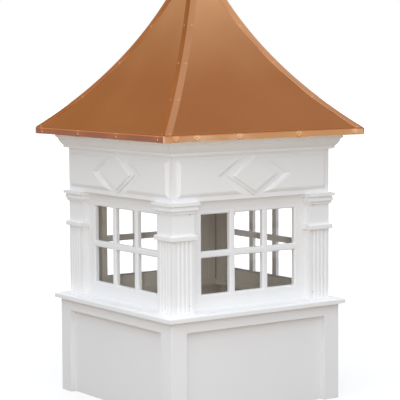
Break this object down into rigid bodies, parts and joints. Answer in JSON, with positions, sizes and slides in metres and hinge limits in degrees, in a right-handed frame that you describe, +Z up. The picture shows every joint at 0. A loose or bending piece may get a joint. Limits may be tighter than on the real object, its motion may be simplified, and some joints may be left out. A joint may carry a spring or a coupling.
{
  "type": "barn cupola",
  "caption": "Square barn cupola: panelled base, sill, glazed storey with fluted corner pilasters, raised diamond frieze, crown moulding and concave hipped copper roof.",
  "frame": {"origin": "centre of the square underside of the base box", "axes": "+Z up, -Y towards the front window, +X to the right"},
  "size_m": [1.192, 1.192, 2.289],
  "materials": {
    "white_vinyl": "satin",
    "copper": "bright sheet copper",
    "glass": "clear",
    "deck_wood": "bare plywood"
  },
  "bodies": {
    "root": {"apex_cap": "copper", "base_panel_back": "white_vinyl", "base_panel_front": "white_vinyl", "base_panel_left": "white_vinyl", "base_panel_right": "white_vinyl", "base_post_back_left": "white_vinyl", "base_post_back_right": "white_vinyl", "base_post_front_left": "white_vinyl", "base_post_front_right": "white_vinyl", "base_rails": "white_vinyl", "crown_moulding": "white_vinyl", "drip_edge": "copper", "frieze_board_back": "white_vinyl", "frieze_board_front": "white_vinyl", "frieze_board_left": "white_vinyl", "frieze_board_right": "white_vinyl", "frieze_diamonds": "white_vinyl", "frieze_panels": "white_vinyl", "hip_cap_back_left": "copper", "hip_cap_back_right": "copper", "hip_cap_front_left": "copper", "hip_cap_front_right": "copper", "pilaster_bands": "white_vinyl", "pilaster_capitals": "white_vinyl", "pilaster_shaft_back_left": "white_vinyl", "pilaster_shaft_back_right": "white_vinyl", "pilaster_shaft_front_left": "white_vinyl", "pilaster_shaft_front_right": "white_vinyl", "roof_deck": "deck_wood", "roof_panel_back": "copper", "roof_panel_front": "copper", "roof_panel_left": "copper", "roof_panel_right": "copper", "sill": "white_vinyl", "soffit": "white_vinyl", "window_glass": "glass", "window_sash_back": "white_vinyl", "window_sash_front": "white_vinyl", "window_sash_left": "white_vinyl", "window_sash_right": "white_vinyl", "window_wall_back": "white_vinyl", "window_wall_front": "white_vinyl", "window_wall_left": "white_vinyl", "window_wall_right": "white_vinyl"}
  },
  "joints": []
}
